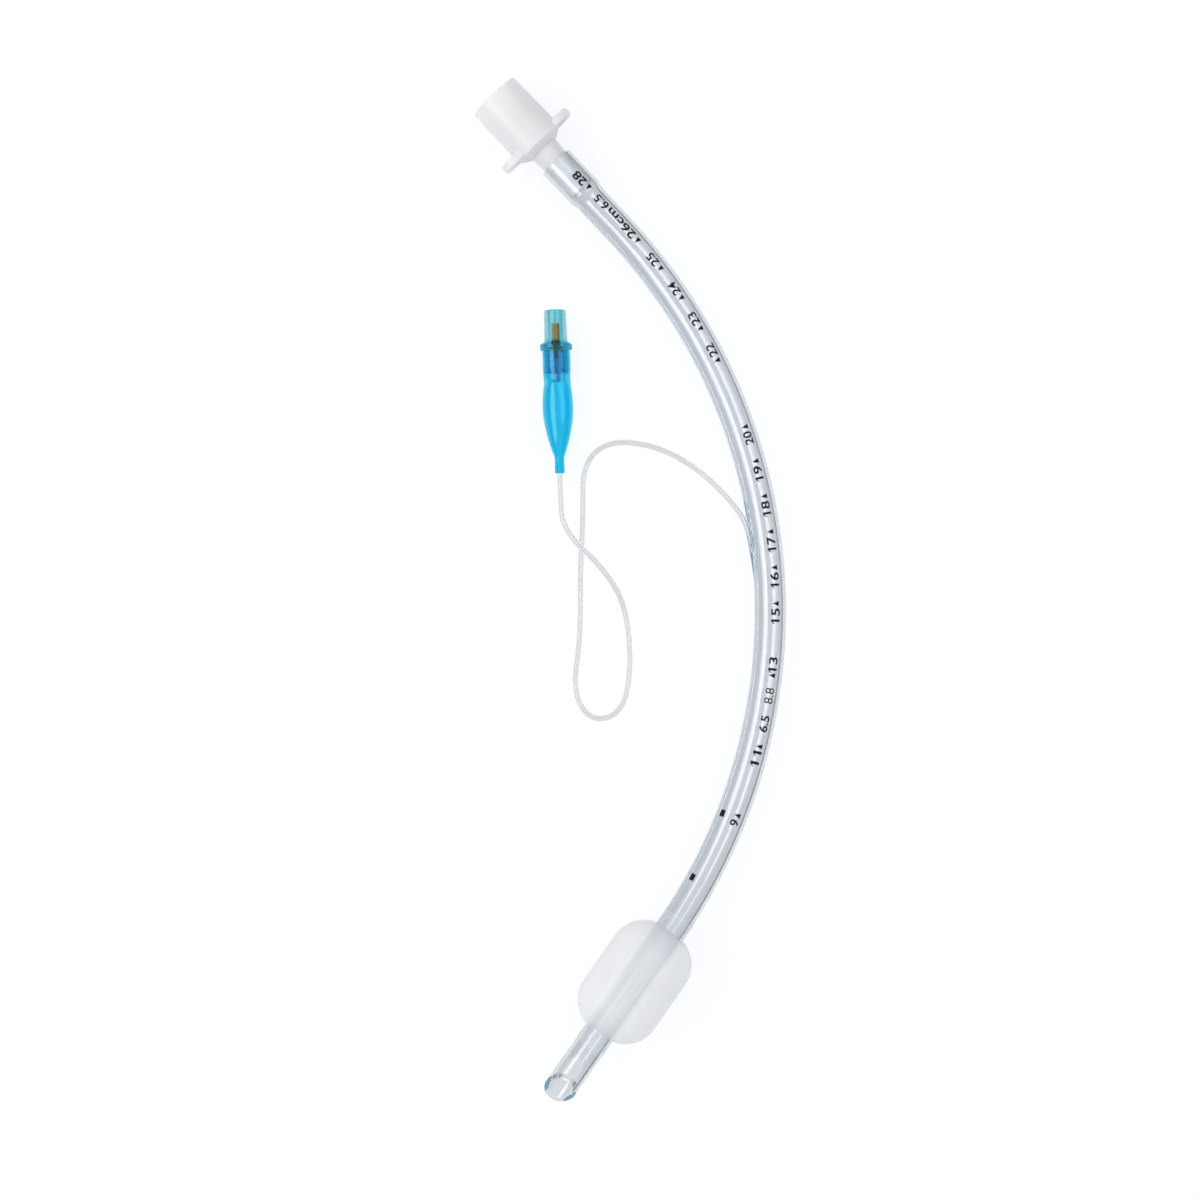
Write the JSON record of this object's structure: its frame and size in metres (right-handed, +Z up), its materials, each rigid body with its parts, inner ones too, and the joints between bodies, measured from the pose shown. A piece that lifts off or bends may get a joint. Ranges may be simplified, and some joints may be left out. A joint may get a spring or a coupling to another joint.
{
  "type": "endotracheal tube",
  "caption": "Curved clear plastic airway tube with a blown cuff near its bevelled tip, a cone connector, and a thin inflation line to a pilot balloon with a sprung valve",
  "frame": {"origin": "centre of the bounding box's footprint, on the surface the tube lies on", "axes": "+Y runs along the tube from the cuff to the connector, +X is the side the bend bulges to, +Z is up from the surface"},
  "size_m": [0.0871, 0.2849, 0.0253],
  "materials": {
    "clear_pvc": "clear, glossy",
    "translucent_plastic": "translucent, satin",
    "cuff_film": "frosted, translucent",
    "soft_line": "clear, glossy",
    "blue_balloon": "clear blue, glossy",
    "blue_plastic": "clear blue, glossy",
    "gold_plunger": "polished",
    "black_rubber": "matt",
    "spring_steel": "bright wire"
  },
  "bodies": {
    "tube": {"tube_shaft": "clear_pvc", "circuit_connector": "translucent_plastic", "cuff": "cuff_film", "inflation_line": "soft_line", "pilot_balloon": "blue_balloon", "valve_housing": "blue_plastic", "valve_spring": "spring_steel", "valve_retainer": "blue_plastic"},
    "plunger": {"valve_plunger": "gold_plunger", "valve_seal": "black_rubber"}
  },
  "joints": [
    {"name": "plunger_slide", "type": "slide", "parent": "tube", "child": "plunger", "axis": [0.0305, -0.9995, -0.0113], "range_m": [0, 0.0012], "stiffness_N_per_m": 300, "deforming": ["valve_spring"]}
  ]
}
